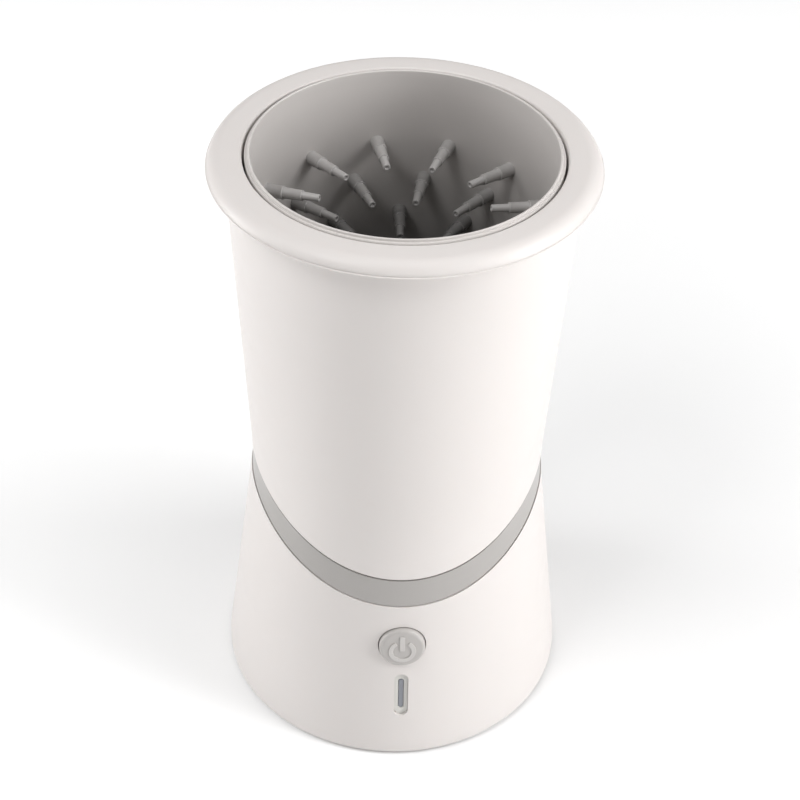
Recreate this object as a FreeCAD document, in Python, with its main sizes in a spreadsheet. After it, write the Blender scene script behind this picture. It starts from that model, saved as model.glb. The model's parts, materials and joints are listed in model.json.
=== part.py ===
import FreeCAD, Part
import math
import os
import re
import sys

import Sketcher

# A battery-driven paw washer cup, in millimetres. +Z is up, the button faces -Y, and the origin
# is on the floor under the cup's axis.

SIZES = [
    # outer skin
    ("base_radius", 56.2), ("base_edge", 4.0), ("base_bottom", 1.5), ("base_round", 2.0),
    ("lower_lean", 7.13), ("upper_lean", 2.86),
    ("waist_radius", 45.9), ("waist_height", 86.3), ("waist_blend", 114.0),
    ("shell_top", 192.4), ("shell_wall", 2.2),
    # wave-shaped parting at the waist
    ("wave_low", 72.2), ("wave_radius", 67.5), ("wave_reach", 60.0), ("wave_gap", 0.2),
    ("band_height", 10.3), ("band_recess", 0.25), ("tongue_depth", 2.3), ("tongue_inner", 3.5),
    ("tongue_reach", 4.5), ("band_root", 8.0), ("band_bury", 0.7),
    # ears inside the base that the chassis screws pass through
    ("lug_length", 12.5), ("lug_width", 8.0), ("lug_reach", 2.75),
    # rolled rim and well
    ("rim_radius", 56.4), ("rim_under", 192.5), ("rim_edge_top", 193.3), ("rim_flat", 51.6),
    ("rim_top", 196.5), ("rim_roll", 5.1), ("rim_throat", 46.1), ("rim_round", 0.8),
    ("well_floor", 88.0), ("well_floor_radius", 41.6), ("well_wall", 1.7), ("well_base", 85.8),
    ("seal_boss_radius", 12.0), ("seal_bottom", 79.0), ("seal_top", 84.0), ("seal_radius", 8.0),
    ("boss_radius", 4.0), ("boss_circle", 38.0), ("pilot_radius", 1.55), ("pilot_top", 75.0),
    ("gasket_low", 189.5), ("gasket_high", 191.5), ("rim_gasket_outer", 48.8),
    ("rim_gasket_inner", 47.8),
    # drum
    ("drum_bottom", 90.0), ("drum_floor", 92.0), ("drum_floor_radius", 40.7),
    ("drum_shoulder", 195.6), ("drum_radius", 45.4), ("drum_wall", 1.6), ("drum_step", 196.2),
    ("drum_bead", 44.5), ("drum_top", 197.0), ("bead_round", 0.42), ("bead_rise", 0.19),
    ("drum_foot_round", 1.5),
    ("socket_radius", 9.0), ("socket_roof", 103.5), ("socket_top", 105.0), ("socket_flats", 10.2),
    # bristles
    ("finger_root_radius", 2.1), ("finger_middle_radius", 1.65), ("finger_tip_radius", 1.1),
    ("finger_root_length", 5.5), ("finger_middle_length", 6.0), ("finger_tip_length", 5.3),
    ("finger_embed", 0.4), ("finger_tilt", 4.0), ("fingers_per_row", 12), ("row_top", 173.0),
    ("row_pitch", 12.3), ("row_turn", 10.0), ("row_start", 14.0), ("finger_round", 0.3),
    # drive
    ("shaft_radius", 3.0), ("shaft_bottom", 57.0), ("shaft_top", 101.0), ("running_gap", 0.05),
    ("dog_flats", 10.0), ("dog_bottom", 92.5), ("dog_top", 102.5), ("bush_radius", 5.0),
    ("clip_bottom", 88.6), ("clip_height", 0.8), ("clip_radius", 5.0),
    ("plate_bottom", 60.0), ("plate_top", 62.5), ("plate_radius", 42.0), ("bush_boss", 7.0),
    ("cover_radius", 31.5), ("cover_wall", 1.8), ("cover_roof", 75.0), ("cover_top", 77.0),
    ("upper_bush_bottom", 74.2), ("upper_bush_top", 78.6),
    ("ear_radius", 3.0), ("ear_circle", 34.0), ("ear_top", 65.0),
    ("fine_module", 0.5), ("coarse_module", 0.6), ("pinion_teeth", 12), ("idler_teeth", 42),
    ("output_teeth", 48), ("idler_distance", 18.0), ("idler_bottom", 64.0), ("idler_top", 66.5),
    ("idler_pinion_top", 73.9), ("output_gear_bottom", 69.5), ("output_gear_top", 73.5),
    ("motor_pinion_bottom", 63.5), ("motor_pinion_top", 67.5), ("pin_radius", 1.5),
    ("motor_x", -13.17), ("motor_y", 15.05), ("motor_radius", 12.2), ("motor_wall", 0.8),
    ("motor_bottom", 28.0), ("end_cap_top", 30.0), ("motor_shaft_radius", 1.0),
    ("motor_shaft_bottom", 29.0), ("magnet_bottom", 36.0), ("magnet_top", 54.0),
    ("magnet_inner", 10.0), ("armature_radius", 9.5), ("motor_screw_circle", 8.0),
    ("magnet_split", 14.0), ("slot_radius", 1.6),
    # front: button, indicator and board, measured from the skin at the button's centre
    ("button_height", 46.6), ("button_radius", 7.25), ("button_proud", 1.6), ("button_gap", 0.3),
    ("button_round", 0.6), ("guide_radius", 9.6), ("guide_depth", 4.0), ("button_travel", 0.8),
    ("flange_radius", 8.6), ("flange_thick", 1.0), ("post_radius", 1.7), ("post_depth", 9.5),
    ("icon_outer", 4.3), ("icon_inner", 2.9), ("icon_drop", 0.9), ("icon_gap", 33.0),
    ("icon_bar", 1.6), ("icon_bar_length", 5.9), ("icon_raise", 0.3),
    ("switch_depth", 10.5), ("switch_width", 6.0), ("plunger_end", 11.6), ("plunger_gap", 0.08),
    ("board_depth", 14.0), ("board_thick", 1.6), ("board_width", 30.0), ("board_top", 9.0),
    ("board_bottom", 30.0), ("board_post", 2.4), ("board_screw_x", 11.5), ("board_screw_up", 5.5),
    ("board_screw_down", 26.5), ("board_post_start", 2.9), ("led_width", 1.6), ("led_depth", 0.8),
    ("led_rise", 3.0), ("guide_bury", 0.9), ("window_cut", 5.0), ("cut_over", 3.0),
    ("window_drop", 20.66), ("window_width", 4.4), ("window_height", 17.4), ("window_recess", 0.9),
    ("window_gap", 0.05), ("window_flange", 1.1), ("strip_width", 1.7), ("strip_height", 12.0),
    # back: charging inlet
    ("port_height", 20.0), ("recess_width", 16.0), ("recess_height", 10.0),
    ("recess_depth", 1.7), ("port_floor", 3.7), ("flap_gap", 0.3), ("flap_thick", 1.3),
    ("inlet_width", 8.94), ("inlet_height", 3.26), ("inlet_wall", 0.35), ("inlet_front", 51.6),
    ("inlet_length", 7.3), ("tongue_width", 6.7), ("tongue_thick", 0.7), ("tongue_length", 5.0),
    ("charge_width", 18.0), ("charge_length", 17.0), ("charge_thick", 1.2), ("charge_back", 49.7),
    ("stand_radius", 2.0), ("stand_x", 5.5), ("stand_front", 5.0), ("stand_rear", 13.0),
    ("port_block", 20.0), ("port_inset", 4.0), ("patch_margin", 2.0),
    # bottom
    ("bottom_top", 4.0), ("bottom_radius", 53.7), ("gasket_top", 4.8), ("gasket_inner", 52.7),
    ("gasket_outer", 53.6), ("ledge_top", 6.5), ("ledge_inner", 50.3), ("pillar_circle", 49.2),
    ("pillar_radius", 3.4), ("pillar_top", 17.0), ("cover_screw_head", 2.5),
    ("cover_screw_sink", 1.2), ("foot_radius", 5.0), ("foot_circle", 44.0), ("foot_height", 2.2),
    # battery
    ("cell_radius", 9.2), ("cell_length", 65.0), ("cell_y", 8.0), ("cell_z", 15.2),
    ("holder_length", 72.0), ("holder_width", 23.0), ("holder_top", 17.0), ("holder_gap", 0.2),
    ("tab_thick", 0.5), ("tab_width", 8.0), ("tab_top", 25.0), ("tab_drop", 6.0),
    # wires
    ("wire_radius", 0.8), ("wire_bite", 0.24), ("motor_lead_first", 4.0), ("motor_lead_second", 7.0),
    ("motor_lead_back", 6.0), ("motor_lead_drop", 1.8), ("lead_bend", 22.0), ("lead_end", 28.0),
    ("lead_inset", 1.0),
    # screws: clearances, pilot holes and heads
    ("screw_clear", 0.15), ("thread_gap", 0.05), ("pillar_pilot", 1.2), ("ear_pilot", 1.25),
    ("board_pilot", 0.9), ("board_hole", 1.0), ("motor_hole", 1.1), ("cover_hole", 1.4),
    ("chassis_head", 2.8), ("chassis_head_height", 2.0), ("lug_thick", 3.0), ("ear_head", 2.2),
    ("ear_head_height", 1.5), ("motor_head", 1.9), ("motor_head_height", 0.8), ("board_head", 1.8),
    ("board_head_height", 1.2),
    # heights that cut right through the gearbox and motor
    ("cut_low", 50.0), ("cut_high", 80.0),
]

doc = FreeCAD.newDocument("paw_washer_cup")
sheet = doc.addObject("Spreadsheet::Sheet", "Sizes")
for row, (alias, number) in enumerate(SIZES, start=1):
    sheet.set("A%d" % row, alias)
    sheet.set("B%d" % row, str(number))
    sheet.setAlias("B%d" % row, alias)
doc.recompute()

ALIASES = {alias for alias, number in SIZES}
NODES = []


# ---- helpers ---------------------------------------------------------------------------------

def bound(expression):
    """An expression in plain aliases, with each alias pointed at the sheet."""
    def point(match):
        word = match.group(0)
        return "Sizes." + word if word in ALIASES else word
    return re.sub(r"[a-z_]+", point, str(expression))


def value(expression):
    return float(sheet.evalExpression(bound(expression)))


def bind(item, **sizes):
    for name, expression in sizes.items():
        item.setExpression(name, bound(expression))
    return item


def place(item, x="0", y="0", z="0"):
    for axis, expression in (("x", x), ("y", y), ("z", z)):
        item.setExpression("Placement.Base." + axis, bound(expression))
    return item


def turn(item, axis, angle):
    item.Placement = FreeCAD.Placement(item.Placement.Base, FreeCAD.Rotation(axis, value(angle)))
    item.setExpression("Placement.Rotation.Angle", bound(angle))
    return item


def node(item):
    NODES.append(item)
    return item


def cylinder(name, radius, bottom, top, x="0", y="0"):
    item = doc.addObject("Part::Cylinder", name)
    bind(item, Radius=radius, Height="(%s) - (%s)" % (top, bottom))
    return place(item, x, y, bottom)


def tube(name, outer, inner, bottom, top, x="0", y="0"):
    core = cylinder(name + "_core", inner, "(%s) - 1" % bottom, "(%s) + 1" % top, x, y)
    return cut(name, cylinder(name + "_solid", outer, bottom, top, x, y), core)


def block(name, width, depth, bottom, top, x="0", y="0"):
    """A box centred on x and y."""
    item = doc.addObject("Part::Box", name)
    bind(item, Length=width, Width=depth, Height="(%s) - (%s)" % (top, bottom))
    return place(item, "(%s) - (%s)/2" % (x, width), "(%s) - (%s)/2" % (y, depth), bottom)


def pill(name, width, height, bottom, top, y="0"):
    """A slot-shaped prism, long in Y, made of a box between two cylinders."""
    half = "((%s) - (%s))/2" % (height, width)
    ends = [cylinder(name + "_end_%d" % n, "(%s)/2" % width, bottom, top, y="(%s) %s %s" % (y, sign, half))
            for n, sign in ((1, "-"), (2, "+"))]
    middle = block(name + "_middle", width, "2*" + half, bottom, top, y=y)
    return fuse(name, ends[0], ends[1], middle)


def fuse(name, *items):
    item = doc.addObject("Part::MultiFuse", name)
    item.Shapes = list(items)
    item.Refine = True
    return item


def cut(name, base, *tools):
    item = doc.addObject("Part::Cut", name)
    item.Base = base
    item.Tool = tools[0] if len(tools) == 1 else fuse(name + "_tools", *tools)
    return item


def common(name, first, second):
    item = doc.addObject("Part::MultiCommon", name)
    item.Shapes = [first, second]
    return item


def compound(name, items):
    item = doc.addObject("Part::Compound", name)
    item.Links = list(items)
    return item


def on_circle(radius, degrees):
    return ("(%s)*cos(%s)" % (radius, degrees), "(%s)*sin(%s)" % (radius, degrees))


def copies(name, count, first_angle, circle, make):
    """make(name, x, y) at equal steps round a circle."""
    step = 360.0 / count
    return [make("%s_%d" % (name, n + 1), *on_circle(circle, first_angle + n * step))
            for n in range(count)]


def arc_between(start, end, radius, left):
    """The short arc from start to end, turning left or right."""
    middle = (start + end) * 0.5
    chord = end - start
    half = chord.Length / 2
    normal = FreeCAD.Vector(-chord.y, chord.x, 0).normalize()
    centre = middle + normal * math.sqrt(max(radius ** 2 - half ** 2, 0)) * (1 if left else -1)
    through = centre + (middle - centre).normalize() * radius
    return Part.Arc(start, through, end)


def outline(body, name, role, points, offset="0"):
    """A closed sketch. A point is (x, y), or (x, y, radius, "left"/"right") after an arc."""
    sketch = body.newObject("Sketcher::SketchObject", name)
    plane = [item for item in body.Origin.OriginFeatures if item.Role == role][0]
    sketch.AttachmentSupport = [(plane, "")]
    sketch.MapMode = "FlatFace"
    sketch.setExpression(".AttachmentOffset.Base.z", bound(offset))
    add_loop(sketch, points)
    return sketch


def add_loop(sketch, points):
    first = sketch.GeometryCount
    corners = [FreeCAD.Vector(value(point[0]), value(point[1]), 0) for point in points]
    starts = []
    for index, point in enumerate(points):
        start, end = corners[index - 1], corners[index]
        if len(point) == 2:
            sketch.addGeometry(Part.LineSegment(start, end), False)
            starts.append((1, 2))
        else:
            left = point[3] == "left"
            sketch.addGeometry(arc_between(start, end, value(point[2]), left), False)
            starts.append((1, 2) if left else (2, 1))
    for index, point in enumerate(points):
        edge = first + index
        before = first + (index - 1) % len(points)
        sketch.addConstraint(Sketcher.Constraint(
            "Coincident", before, starts[index - 1][1], edge, starts[index][0]))
        for kind, number in (("DistanceX", 0), ("DistanceY", 1)):
            place_value = corners[index][number]
            key = sketch.addConstraint(Sketcher.Constraint(
                kind, -1, 1, edge, starts[index][1], place_value))
            sketch.setExpression("Constraints[%d]" % key, bound(point[number]))
        if len(point) == 4:
            key = sketch.addConstraint(Sketcher.Constraint("Radius", edge, value(point[2])))
            sketch.setExpression("Constraints[%d]" % key, bound(point[2]))


def new_body(name):
    return doc.addObject("PartDesign::Body", name)


def revolve(body, points, name="profile"):
    """Turn an outline, given as (radius, height), about the Z axis."""
    feature = body.newObject("PartDesign::Revolution", body.Name + "_turned")
    sketch = outline(body, body.Name + "_" + name, "XZ_Plane", points)
    feature.Profile = sketch
    feature.ReferenceAxis = (sketch, ["V_Axis"])
    feature.Angle = 360
    return feature


def turned(name, points):
    body = new_body(name)
    revolve(body, points)
    return body


def front(item):
    """Stand a piece made about its own axis on the leaning skin at the button's centre."""
    turn(item, FreeCAD.Vector(1, 0, 0), "90 - lower_lean")
    return place(item, "0", "-(%s)" % skin_radius("button_height"), "button_height")


def skin_radius(height):
    return "(base_radius - ((%s) - base_edge)*tan(lower_lean))" % height


# ---- outer skin ------------------------------------------------------------------------------

def skin(name, outer_depth, inner_depth, rounded_foot=False):
    """A layer of the skin between two depths, from the base to the rim."""
    reach = "waist_blend*tan((lower_lean + upper_lean)/2)"
    low_r = "(waist_radius + %s*sin(lower_lean) - (%%s))" % reach
    low_z = "(waist_height - %s*cos(lower_lean))" % reach
    high_r = "(waist_radius + %s*sin(upper_lean) - (%%s))" % reach
    high_z = "(waist_height + %s*cos(upper_lean))" % reach
    top_r = "(waist_radius + (shell_top - waist_height)*tan(upper_lean) - (%s))"
    side = "(base_radius - (%s))"
    foot = [(side % outer_depth, "base_bottom")]
    if rounded_foot:
        foot = [(side % outer_depth + " - base_round*0.6", "base_bottom"),
                (side % outer_depth, "base_bottom + base_round*0.8", "base_round", "left")]
    return turned(name, [
        (side % inner_depth, "base_bottom"),
        *foot,
        (side % outer_depth, "base_edge"),
        (low_r % outer_depth, low_z),
        (high_r % outer_depth, high_z, "waist_blend", "right"),
        (top_r % outer_depth, "shell_top"),
        (top_r % inner_depth, "shell_top"),
        (high_r % inner_depth, high_z),
        (low_r % inner_depth, low_z, "waist_blend", "left"),
        (side % inner_depth, "base_edge"),
    ])


def wave_region(name, low_edge, high_edge):
    """The part of space between two edges that follow the wave; None is open-ended."""
    rise = "wave_radius - sqrt(wave_radius^2 - wave_reach^2)"

    def edge(offset):
        return ("wave_reach", "wave_low + (%s) + %s" % (offset, rise)), \
               ("-wave_reach", "wave_low + (%s) + %s" % (offset, rise))

    def floor(height):
        return ("wave_reach", height), ("-wave_reach", height)

    right_low, left_low = edge(low_edge) if low_edge is not None else floor("0")
    right_high, left_high = edge(high_edge) if high_edge is not None else floor("rim_top + 20")
    points = [right_low, right_high, left_high, left_low]
    if high_edge is not None:
        points[2] = left_high + ("wave_radius", "right")
    if low_edge is not None:
        points[0] = right_low + ("wave_radius", "left")
    body = new_body(name)
    pad = body.newObject("PartDesign::Pad", name + "_pad")
    pad.Profile = outline(body, name + "_outline", "XZ_Plane", points)
    pad.Midplane = True
    pad.Length = value("3*base_radius")
    pad.setExpression("Length", bound("3*base_radius"))
    return body


def upper_shell():
    node(common("upper_shell", skin("upper_skin", "0", "shell_wall"),
                wave_region("upper_region", "wave_gap", None)))


def trim_band():
    face = common("band_face", skin("band_skin", "band_recess", "shell_wall"),
                  wave_region("band_region", "wave_gap*0.6 - band_height", "-wave_gap"))
    root = common("band_root_ring", skin("root_skin", "shell_wall - band_bury", "tongue_inner"),
                  wave_region("root_region", "wave_gap*0.6 - band_height", "-band_root"))
    tongue = common("band_tongue", skin("tongue_skin", "tongue_depth", "tongue_inner"),
                    wave_region("tongue_region", "-band_height - tongue_reach", "-band_root"))
    node(fuse("trim_band", face, root, tongue))


def base_shell():
    wall = common("base_wall", skin("base_skin", "0", "shell_wall", rounded_foot=True),
                  wave_region("base_region", None, "-band_height - wave_gap*0.6"))
    ledge = tube("base_ledge", "base_radius - 1", "ledge_inner", "gasket_top", "ledge_top")
    pillars = copies("base_pillar", 4, 45, "pillar_circle",
                     lambda name, x, y: cylinder(name, "pillar_radius", "bottom_top", "pillar_top", x, y))
    pillar_holes = copies("pillar_hole", 4, 45, "pillar_circle",
                          lambda name, x, y: cylinder(name, "pillar_pilot", "0", "pillar_top - 3", x, y))
    lugs = compound("base_lugs", [lug(n) for n in range(4)])
    guide = front(fuse("front_solids", cylinder("guide_solid", "guide_radius", "-guide_depth",
                                                "guide_bury - shell_wall"), *board_posts()))
    patch = common("port_patch", skin("port_patch_skin", "recess_depth", "port_floor"),
                   port_block("port_patch_block", "patch_margin"))
    solid = fuse("base_solid", wall, ledge, *pillars, lugs, guide, patch)
    front_holes = front(fuse(
        "front_holes",
        cylinder("button_hole", "button_radius + button_gap", "-guide_depth - 1", "cut_over"),
        pill("window_hole", "window_width", "window_height", "-window_cut", "cut_over",
             y="-window_drop"),
        *board_post_holes()))
    recess = common("port_recess", skin("port_recess_skin", "-2", "recess_depth"),
                    port_block("recess_block", "0"))
    node(cut("base_shell", solid, *pillar_holes, front_holes, recess, inlet_prism(
        "inlet_hole", "0.12", "base_radius - 9", "base_radius")))


def port_block(name, margin):
    """A block over the charging port's recess, larger all round by margin."""
    return block(name, "recess_width + 2*(%s)" % margin, "port_block",
                 "port_height - recess_height/2 - (%s)" % margin,
                 "port_height + recess_height/2 + (%s)" % margin, y="base_radius - port_inset")


def lug(number):
    """An inward ear that the chassis screws pass through."""
    name = "base_lug_%d" % (number + 1)
    bar = block(name + "_bar", "lug_length", "lug_width", "plate_bottom - lug_thick", "plate_bottom",
                x="boss_circle + lug_reach")
    ear = cut(name, bar, cylinder(name + "_hole", "pilot_radius + screw_clear", "cut_low", "cut_high",
                                  x="boss_circle"))
    return turn(ear, FreeCAD.Vector(0, 0, 1), "%d" % (45 + 90 * number))


def board_places():
    return [(x, y) for x in ("-board_screw_x", "board_screw_x")
            for y in ("board_screw_up", "-board_screw_down")]


def board_posts():
    return [cylinder("board_post_%d" % n, "board_post", "-board_depth", "-board_post_start", x, y)
            for n, (x, y) in enumerate(board_places(), 1)]


def board_post_holes():
    return [cylinder("board_pilot_%d" % n, "board_pilot", "-board_depth - 1", "-board_depth + 6.5", x, y)
            for n, (x, y) in enumerate(board_places(), 1)]


# ---- well and rim ----------------------------------------------------------------------------

def water_well():
    outer = "(%s + well_wall)"
    body = turned("well_body", [
        ("well_floor_radius", "well_floor + 3"),
        ("well_floor_radius - 3", "well_floor", "3", "right"),
        ("shaft_radius + 0.3", "well_floor"),
        ("shaft_radius + 0.3", "seal_top + 0.2"),
        ("seal_radius", "seal_top + 0.2"),
        ("seal_radius", "seal_bottom"),
        ("seal_boss_radius", "seal_bottom"),
        ("seal_boss_radius", "well_base"),
        (outer % "well_floor_radius" + " - 2", "well_base"),
        (outer % "well_floor_radius", "well_floor", "3.2", "left"),
        (outer % "rim_throat", "rim_under"),
        ("rim_radius - 0.35", "rim_under"),
        ("rim_radius", "rim_under + 0.35", "0.35", "left"),
        ("rim_radius", "rim_edge_top"),
        ("rim_flat", "rim_top", "rim_roll", "left"),
        ("rim_throat + rim_round", "rim_top"),
        ("rim_throat", "rim_top - rim_round", "rim_round", "left"),
    ])
    bosses = copies("well_boss", 4, 45, "boss_circle",
                    lambda name, x, y: cylinder(name, "boss_radius", "plate_top", "well_base + 0.5", x, y))
    pilots = copies("well_pilot", 4, 45, "boss_circle",
                    lambda name, x, y: cylinder(name, "pilot_radius", "cut_low", "pilot_top", x, y))
    node(cut("water_well", fuse("well_solid", body, *bosses), *pilots))


def seals():
    node(tube("shaft_seal", "seal_radius", "shaft_radius + running_gap", "seal_bottom", "seal_top"))
    node(tube("rim_gasket", "rim_gasket_outer", "rim_gasket_inner", "gasket_low", "gasket_high"))


# ---- drum ------------------------------------------------------------------------------------

def brush_drum():
    inner = "(%s - drum_wall)"
    node(turned("brush_drum", [
        ("socket_radius", "drum_bottom"),
        ("drum_floor_radius - drum_foot_round", "drum_bottom"),
        ("drum_floor_radius", "drum_bottom + drum_foot_round", "drum_foot_round", "left"),
        ("drum_radius", "drum_shoulder"),
        ("drum_radius - 0.3", "drum_step", "0.6", "left"),
        ("drum_bead + 0.06", "drum_step"),
        ("drum_bead", "drum_top - bead_rise"),
        (inner % "drum_radius", "drum_top - bead_rise", "bead_round", "left"),
        (inner % "drum_radius" + " - 0.03", "drum_shoulder - 1"),
        (inner % "drum_floor_radius", "drum_floor + 2"),
        (inner % "drum_floor_radius" + " - 2", "drum_floor", "2", "right"),
        ("socket_radius", "drum_floor"),
    ]))


def hexagon(body, name, flats, bottom, top):
    """A six-sided pad between two heights."""
    corner = "(%s)/(2*cos(30))" % flats
    points = [("(%s)*cos(%d)" % (corner, 60 * n), "(%s)*sin(%d)" % (corner, 60 * n)) for n in range(6)]
    pad = body.newObject("PartDesign::Pad", name)
    pad.Profile = outline(body, name + "_outline", "XY_Plane", points, offset=bottom)
    pad.setExpression("Length", bound("(%s) - (%s)" % (top, bottom)))
    return pad


def drive_socket():
    hole = new_body("socket_hole")
    hexagon(hole, "socket_hexagon", "socket_flats", "drum_bottom - 1", "socket_roof")
    node(cut("drive_socket", cylinder("socket_solid", "socket_radius", "drum_bottom", "socket_top"), hole))


def bristle_finger():
    """One stepped finger along +Z with its root at the origin."""
    first = "finger_root_length"
    second = "finger_root_length + finger_middle_length"
    last = second + " + finger_tip_length"
    return turned("bristle_finger", [
        ("0", "-finger_embed"),
        ("finger_root_radius + 0.2", "-finger_embed"),
        ("finger_root_radius", "%s - finger_round" % first),
        ("finger_root_radius - finger_round", first, "finger_round", "left"),
        ("finger_middle_radius + 0.1", first),
        ("finger_middle_radius", "%s - finger_round" % second),
        ("finger_middle_radius - finger_round", second, "finger_round", "left"),
        ("finger_tip_radius + 0.1", second),
        ("finger_tip_radius", "%s - finger_round" % last),
        ("finger_tip_radius - finger_round", last, "finger_round", "left"),
        ("0", last),
    ])


def bristle_rows(finger):
    """Rings of fingers that point inward and a little up, each ring turned from the one above."""
    count = int(value("fingers_per_row"))
    lean = math.atan2(value("drum_radius - drum_floor_radius"), value("drum_shoulder - drum_bottom"))
    for row in range(6):
        height = value("row_top") - row * value("row_pitch")
        wall = value("drum_radius - drum_wall") - (value("drum_shoulder") - height) * math.tan(lean)
        fingers = []
        for number in range(count):
            angle = 90 - value("row_start") + row * value("row_turn") + number * 360.0 / count
            spin = FreeCAD.Rotation(FreeCAD.Vector(0, 0, 1), angle)
            tip_up = FreeCAD.Rotation(FreeCAD.Vector(0, 1, 0), -90 + value("finger_tilt"))
            base = spin.multVec(FreeCAD.Vector(wall, 0, height))
            piece = finger.Shape.copy()
            piece.Placement = FreeCAD.Placement(base, spin.multiply(tip_up))
            fingers.append(piece)
        ring = doc.addObject("Part::Feature", "bristle_row_%d" % (row + 1))
        ring.Shape = Part.makeCompound(fingers)
        node(ring)


# ---- gearbox and motor -----------------------------------------------------------------------

def gear_shape(module, teeth, bottom, top, bore, phase):
    """A straight-toothed gear with a little backlash, from the involute of its base circle."""
    pitch = module * teeth / 2
    base = pitch * math.cos(math.radians(20))
    outer = pitch + module
    root = pitch - 1.2 * module
    half_tooth = (math.pi / (2 * teeth)) - 0.12 * module / pitch / 2
    involute_pitch = math.tan(math.radians(20)) - math.radians(20)
    points = []
    for tooth in range(teeth):
        middle = phase + tooth * 2 * math.pi / teeth
        flank = []
        for step in range(5):
            radius = max(base, root) + (outer - max(base, root)) * step / 4
            roll = math.acos(min(1, base / radius))
            flank.append((radius, half_tooth + involute_pitch - (math.tan(roll) - roll)))
        flank.insert(0, (root, flank[0][1]))
        points += [(radius, middle - half) for radius, half in flank]
        points += [(radius, middle + half) for radius, half in reversed(flank)]
    corners = [FreeCAD.Vector(r * math.cos(a), r * math.sin(a), bottom) for r, a in points]
    face = Part.Face(Part.makePolygon(corners + corners[:1]))
    solid = face.extrude(FreeCAD.Vector(0, 0, top - bottom))
    if bore:
        hole = Part.makeCylinder(bore, top - bottom + 2, FreeCAD.Vector(0, 0, bottom - 1))
        solid = solid.cut(hole)
    return solid


def gear(name, *solids, x="0", y="0"):
    item = doc.addObject("Part::Feature", name)
    shape = solids[0] if len(solids) == 1 else solids[0].fuse(list(solids[1:]))
    item.Shape = shape
    place(item, x, y, "0")
    return node(item)


def gear_train():
    """Motor pinion, double idler and output gear, turned so that teeth meet gaps."""
    fine, coarse = value("fine_module"), value("coarse_module")
    pinion, middle, output = (int(value(n)) for n in ("pinion_teeth", "idler_teeth", "output_teeth"))
    to_idler = math.pi / 2
    # the output gear's tooth on the line to the idler, the idler pinion's gap facing it
    output_phase = to_idler
    idler_pinion_phase = -math.pi / 2 + math.pi / pinion
    to_motor = math.atan2(value("motor_y - idler_distance"), value("motor_x"))
    motor_phase = to_motor + math.pi + math.pi / pinion
    gear("output_gear", gear_shape(coarse, output, value("output_gear_bottom"),
                                   value("output_gear_top"), value("shaft_radius"), output_phase))
    bore = value("pin_radius + running_gap")
    gear("idler_gear",
         gear_shape(fine, middle, value("idler_bottom"), value("idler_top"), bore, to_motor),
         gear_shape(coarse, pinion, value("idler_top"), value("idler_pinion_top"), bore,
                    idler_pinion_phase), y="idler_distance")
    gear("motor_pinion", gear_shape(fine, pinion, value("motor_pinion_bottom"),
                                    value("motor_pinion_top"), value("motor_shaft_radius"),
                                    motor_phase), x="motor_x", y="motor_y")


def gearbox_plate():
    disc = cylinder("plate_disc", "plate_radius", "plate_bottom", "plate_top")
    boss = cylinder("plate_boss", "bush_boss", "shaft_bottom", "plate_top")
    through = ("cut_low", "cut_high")
    bush_hole = cylinder("plate_bush_hole", "bush_radius", *through)
    motor_hole = cylinder("plate_motor_hole", "4*motor_shaft_radius", *through, "motor_x", "motor_y")
    pin_hole = cylinder("plate_pin_hole", "pin_radius", "plate_bottom + 1", "cut_high",
                        y="idler_distance")
    screw_holes = copies("plate_screw_hole", 4, 45, "boss_circle", lambda name, x, y: cylinder(
        name, "pilot_radius + screw_clear", *through, x, y))
    ear_holes = copies("plate_ear_hole", 4, 0, "ear_circle",
                       lambda name, x, y: cylinder(name, "ear_pilot", *through, x, y))
    fixing = [cylinder("plate_motor_screw_hole_%d" % n, "motor_hole", *through,
                       "motor_x %s motor_screw_circle" % sign, "motor_y")
              for n, sign in ((1, "-"), (2, "+"))]
    node(cut("gearbox_plate", fuse("plate_solid", disc, boss), bush_hole, motor_hole, pin_hole,
             *screw_holes, *ear_holes, *fixing))


def gearbox_cover():
    shell = tube("cover_ring", "cover_radius", "cover_radius - cover_wall", "plate_top", "cover_roof")
    roof = cylinder("cover_roof_disc", "cover_radius", "cover_roof", "cover_top")
    ears = copies("cover_ear", 4, 0, "ear_circle",
                  lambda name, x, y: cylinder(name, "ear_radius", "plate_top", "ear_top", x, y))
    core = cylinder("cover_clear", "cover_radius - cover_wall", "plate_top - 1", "cover_roof")
    ear_holes = copies("cover_ear_hole", 4, 0, "ear_circle",
                       lambda name, x, y: cylinder(name, "ear_pilot", "cut_low", "cut_high", x, y))
    bush_hole = cylinder("cover_bush_hole", "bush_radius", "cover_roof - 1", "cover_top + 1")
    pin_hole = cylinder("cover_pin_hole", "pin_radius", "cover_roof - 1", "cover_roof + 1",
                        y="idler_distance")
    node(cut("gearbox_cover", fuse("cover_solid", shell, roof, *ears), core, *ear_holes,
             bush_hole, pin_hole))


def screw(name, x, y, head_radius, head_bottom, head_top, shank_radius, shank_bottom, shank_top):
    """A screw with a round head and a cross recess left plain."""
    head = cylinder(name + "_head", head_radius, head_bottom, head_top, x, y)
    shank = cylinder(name + "_shank", shank_radius, shank_bottom, shank_top, x, y)
    return fuse(name, head, shank)


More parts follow.
